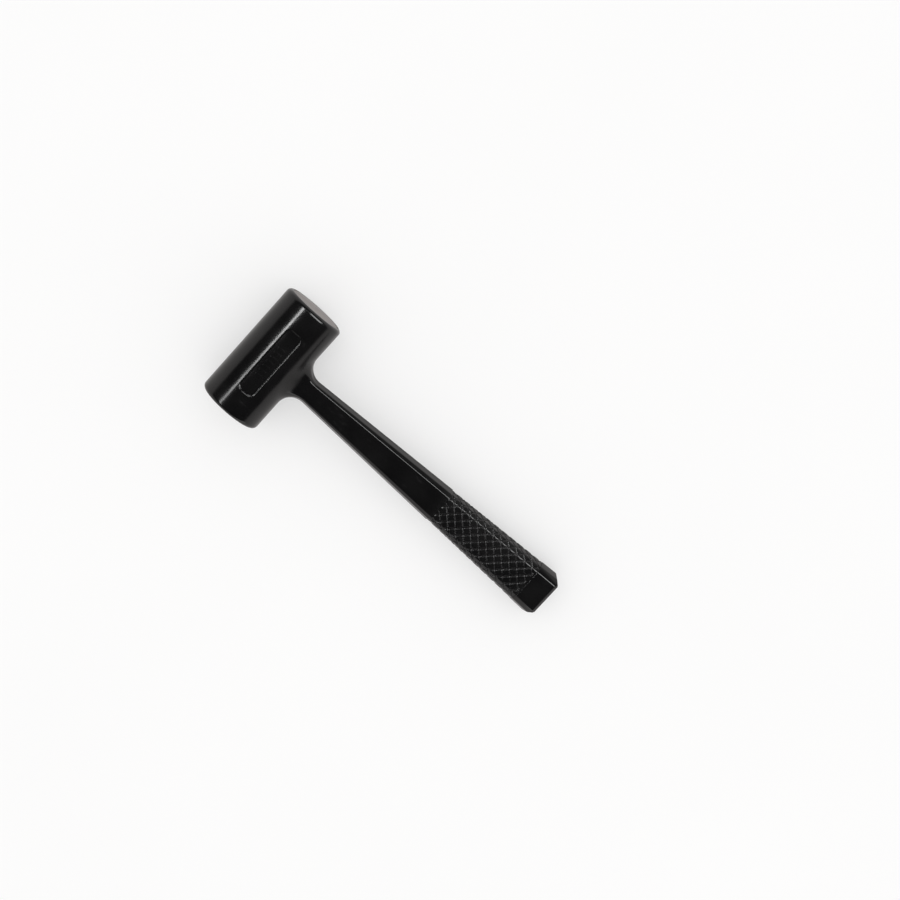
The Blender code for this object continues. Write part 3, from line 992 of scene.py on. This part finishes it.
def make_floor():
    """It glows a little, which keeps the shadows on it pale, and is dimmer where the mallet reflects it."""
    bm = bmesh.new()
    bmesh.ops.create_grid(bm, x_segments=1, y_segments=1, size=FLOOR_HALF_SIZE)
    mesh = bpy.data.meshes.new("floor")
    bm.to_mesh(mesh)
    bm.free()
    floor = bpy.data.objects.new("floor", mesh)
    floor.location.z = -FLOOR_DROP
    bpy.context.scene.collection.objects.link(floor)
    s = Surface("pale_floor", Roughness=0.9, Emission_Color=(1, 1, 1, 1), Emission_Strength=FLOOR_GLOW)
    s.shader.inputs["Specular IOR Level"].default_value = 0.1
    dark = (FLOOR_DARK - FLOOR_GLOW,) * 3
    light = (FLOOR_LIGHT - FLOOR_GLOW,) * 3
    tone = s.blend(s.ramp(s.noise(300 * MM), 0.3, 0.7), dark, light)
    path = s.nodes.new("ShaderNodeLightPath")
    s.put(s.blend(path.outputs["Is Glossy Ray"], tone, FLOOR_REFLECTED), s.shader.inputs["Base Color"])
    mesh.materials.append(s.material)


def add_light(name, direction, distance, width, height, power, along=(0, 1, 0)):
    """A soft box of this many watts, seen from the head in this direction, its height along the axis."""
    data = bpy.data.lights.new(name, "AREA")
    data.shape = "RECTANGLE"
    data.size = width
    data.size_y = height
    data.energy = power
    light = bpy.data.objects.new(name, data)
    toward_head = -Vector(direction).normalized()
    upright = Vector(along) - toward_head * toward_head.dot(Vector(along))
    upright.normalize()
    across = upright.cross(-toward_head)
    turn = Matrix((across, upright, -toward_head)).transposed().to_4x4()
    light.matrix_world = Matrix.Translation(HEAD_CENTRE - toward_head * distance) @ turn
    light.visible_camera = False
    light.visible_diffuse = False
    bpy.context.scene.collection.objects.link(light)


def make_lights():
    """Two narrow strips draw the bright line along the barrel, and broad soft boxes light edges and ends."""
    strip, end = (-0.535, -0.148, 0.832), (-0.535, 0.06, 0.832)
    key, top, low = (0.34, 0.46, 0.8), (-0.1, 0.5, 0.86), (0.7, -0.7, 0.14)
    add_light("strip", strip, distance=1.3, width=0.14, height=1.6, power=5.2)
    add_light("strip_end", end, distance=1.3, width=0.14, height=0.5, power=2.2)
    add_light("key", key, distance=1.5, width=0.7, height=1.25, power=19, along=(1, 0, 0))
    add_light("top_fill", top, distance=1.5, width=0.9, height=0.5, power=0.5)
    add_light("low_fill", low, distance=1.6, width=1.3, height=0.5, power=1.2, along=(0, 0, 1))


def make_world():
    """A pale room on matte surfaces; in reflections it is dark overhead and paler at the horizon."""
    world = bpy.data.worlds.new("studio")
    bpy.context.scene.world = world
    world.use_nodes = True
    nodes, links = world.node_tree.nodes, world.node_tree.links
    nodes.clear()
    output = nodes.new("ShaderNodeOutputWorld")
    join = nodes.new("ShaderNodeMixShader")
    path = nodes.new("ShaderNodeLightPath")
    room = nodes.new("ShaderNodeBackground")
    room.inputs["Color"].default_value = ROOM_TINT
    room.inputs["Strength"].default_value = ROOM_STRENGTH
    dim = nodes.new("ShaderNodeBackground")
    dim.inputs["Color"].default_value = REFLECTED_TINT
    direction = nodes.new("ShaderNodeTexCoord")
    parts = nodes.new("ShaderNodeSeparateXYZ")
    height = nodes.new("ShaderNodeMapRange")
    height.interpolation_type = "SMOOTHSTEP"
    fall = (HORIZON_HEIGHT, OVERHEAD_HEIGHT, REFLECTED_HORIZON, REFLECTED_OVERHEAD)
    for socket, number in zip(height.inputs[1:5], fall):
        socket.default_value = number
    links.new(direction.outputs["Generated"], parts.inputs[0])
    links.new(parts.outputs["Z"], height.inputs["Value"])
    links.new(height.outputs["Result"], dim.inputs["Strength"])
    links.new(path.outputs["Is Glossy Ray"], join.inputs["Fac"])
    links.new(room.outputs[0], join.inputs[1])
    links.new(dim.outputs[0], join.inputs[2])
    links.new(join.outputs[0], output.inputs["Surface"])


def make_camera():
    data = bpy.data.cameras.new("camera")
    data.sensor_width = CAMERA_SENSOR
    data.lens = CAMERA_LENS
    data.clip_start = CAMERA_CLIP_START
    camera = bpy.data.objects.new("camera", data)
    look = (CAMERA_TARGET - CAMERA_PLACE).normalized()
    up = Vector((math.cos(CAMERA_UP_TURN), math.sin(CAMERA_UP_TURN), 0))
    right = look.cross(up).normalized()
    turn = Matrix((right, right.cross(look), -look)).transposed().to_4x4()
    camera.matrix_world = Matrix.Translation(CAMERA_PLACE) @ turn
    bpy.context.scene.collection.objects.link(camera)
    bpy.context.scene.camera = camera


def main():
    make_casing(urethane("casing_urethane", rough_low=0.12, rough_high=0.2, wear=0.6))
    face = scored_face("face_urethane")
    make_strike_face("right", 1, face)
    make_strike_face("left", -1, face)
    make_grip(urethane("grip_urethane", rough_low=0.16, rough_high=0.26, wear=0.8))
    make_butt(urethane("butt_urethane", rough_low=0.12, rough_high=0.2, wear=0.8))
    tube = steel("canister_steel", TUBE_DARK, TUBE_LIGHT, size=2 * MM, stretch=(1, 0.05, 1))
    core = steel("core_steel", CORE_DARK, CORE_LIGHT, size=1.5 * MM, stretch=(0.05, 1, 1))
    shot = steel("shot_steel", SHOT_DARK, SHOT_LIGHT, size=1.2 * MM, stretch=(1, 1, 1))
    make_canister(tube)
    make_handle_core(core)
    make_shot(shot)
    make_floor()
    make_lights()
    make_world()
    make_camera()
    bpy.context.scene.view_settings.view_transform = "Standard"


main()
